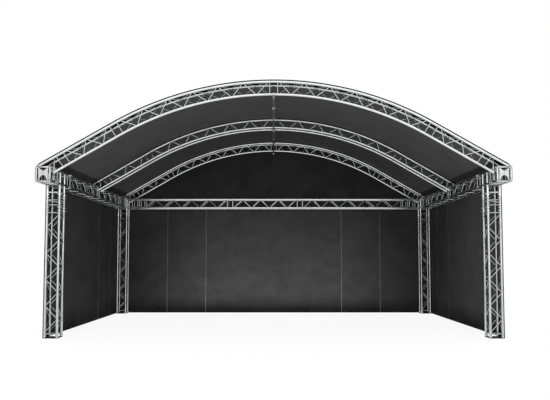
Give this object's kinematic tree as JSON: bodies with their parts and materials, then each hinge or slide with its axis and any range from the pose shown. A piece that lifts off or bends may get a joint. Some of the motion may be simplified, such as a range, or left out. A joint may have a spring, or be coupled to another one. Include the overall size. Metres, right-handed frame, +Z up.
{
  "type": "arched truss stage roof",
  "caption": "Free-standing outdoor stage roof: truss legs on base plates carry side beams, a rear beam and barrel arches, with black cloth over the vault, gable, rear and sides.",
  "frame": {"origin": "on the floor, below the middle of the outer box", "axes": "+Z up; the open front faces -Y; +X is to the right seen from the front"},
  "size_m": [8.921, 6.0784, 4.897],
  "materials": {
    "aluminium_tube": "bare extruded tube, satin and a little mottled",
    "base_plate_steel": "black powder coat, a little worn",
    "black_cloth": "matt, coated, stretched taut"
  },
  "bodies": {
    "root": {"base_plate_front_left": "base_plate_steel", "base_plate_front_right": "base_plate_steel", "base_plate_rear_left": "base_plate_steel", "base_plate_rear_right": "base_plate_steel", "beam_end_left": "aluminium_tube", "beam_end_right": "aluminium_tube", "canopy": "black_cloth", "end_plate_left": "aluminium_tube", "end_plate_right": "aluminium_tube", "front_arch_curve_left": "aluminium_tube", "front_arch_curve_right": "aluminium_tube", "front_arch_end_left": "aluminium_tube", "front_arch_end_right": "aluminium_tube", "front_arch_straight_left": "aluminium_tube", "front_arch_straight_right": "aluminium_tube", "front_tee_block_left": "aluminium_tube", "front_tee_block_right": "aluminium_tube", "leg_spacer_front_left": "aluminium_tube", "leg_spacer_front_right": "aluminium_tube", "leg_spacer_rear_left": "aluminium_tube", "leg_spacer_rear_right": "aluminium_tube", "leg_truss_front_left": "aluminium_tube", "leg_truss_front_right": "aluminium_tube", "leg_truss_rear_left": "aluminium_tube", "leg_truss_rear_right": "aluminium_tube", "middle_arch_curve_left": "aluminium_tube", "middle_arch_curve_right": "aluminium_tube", "middle_arch_end_left": "aluminium_tube", "middle_arch_end_right": "aluminium_tube", "middle_arch_straight_left": "aluminium_tube", "middle_arch_straight_right": "aluminium_tube", "rear_arch_curve_left": "aluminium_tube", "rear_arch_curve_right": "aluminium_tube", "rear_arch_end_left": "aluminium_tube", "rear_arch_end_right": "aluminium_tube", "rear_arch_straight_left": "aluminium_tube", "rear_arch_straight_right": "aluminium_tube", "rear_beam_left": "aluminium_tube", "rear_beam_middle": "aluminium_tube", "rear_beam_right": "aluminium_tube", "rear_corner_block_left": "aluminium_tube", "rear_corner_block_right": "aluminium_tube", "rear_gable": "black_cloth", "rear_spacer_left": "aluminium_tube", "rear_spacer_right": "aluminium_tube", "rear_wall": "black_cloth", "ridge_clamp_front": "aluminium_tube", "ridge_clamp_middle": "aluminium_tube", "ridge_clamp_rear": "aluminium_tube", "ridge_tube_front": "aluminium_tube", "ridge_tube_rear": "aluminium_tube", "side_beam_front_left": "aluminium_tube", "side_beam_front_right": "aluminium_tube", "side_beam_rear_left": "aluminium_tube", "side_beam_rear_right": "aluminium_tube", "side_clamp_left": "aluminium_tube", "side_clamp_right": "aluminium_tube", "side_wall_left": "black_cloth", "side_wall_right": "black_cloth"}
  },
  "joints": []
}
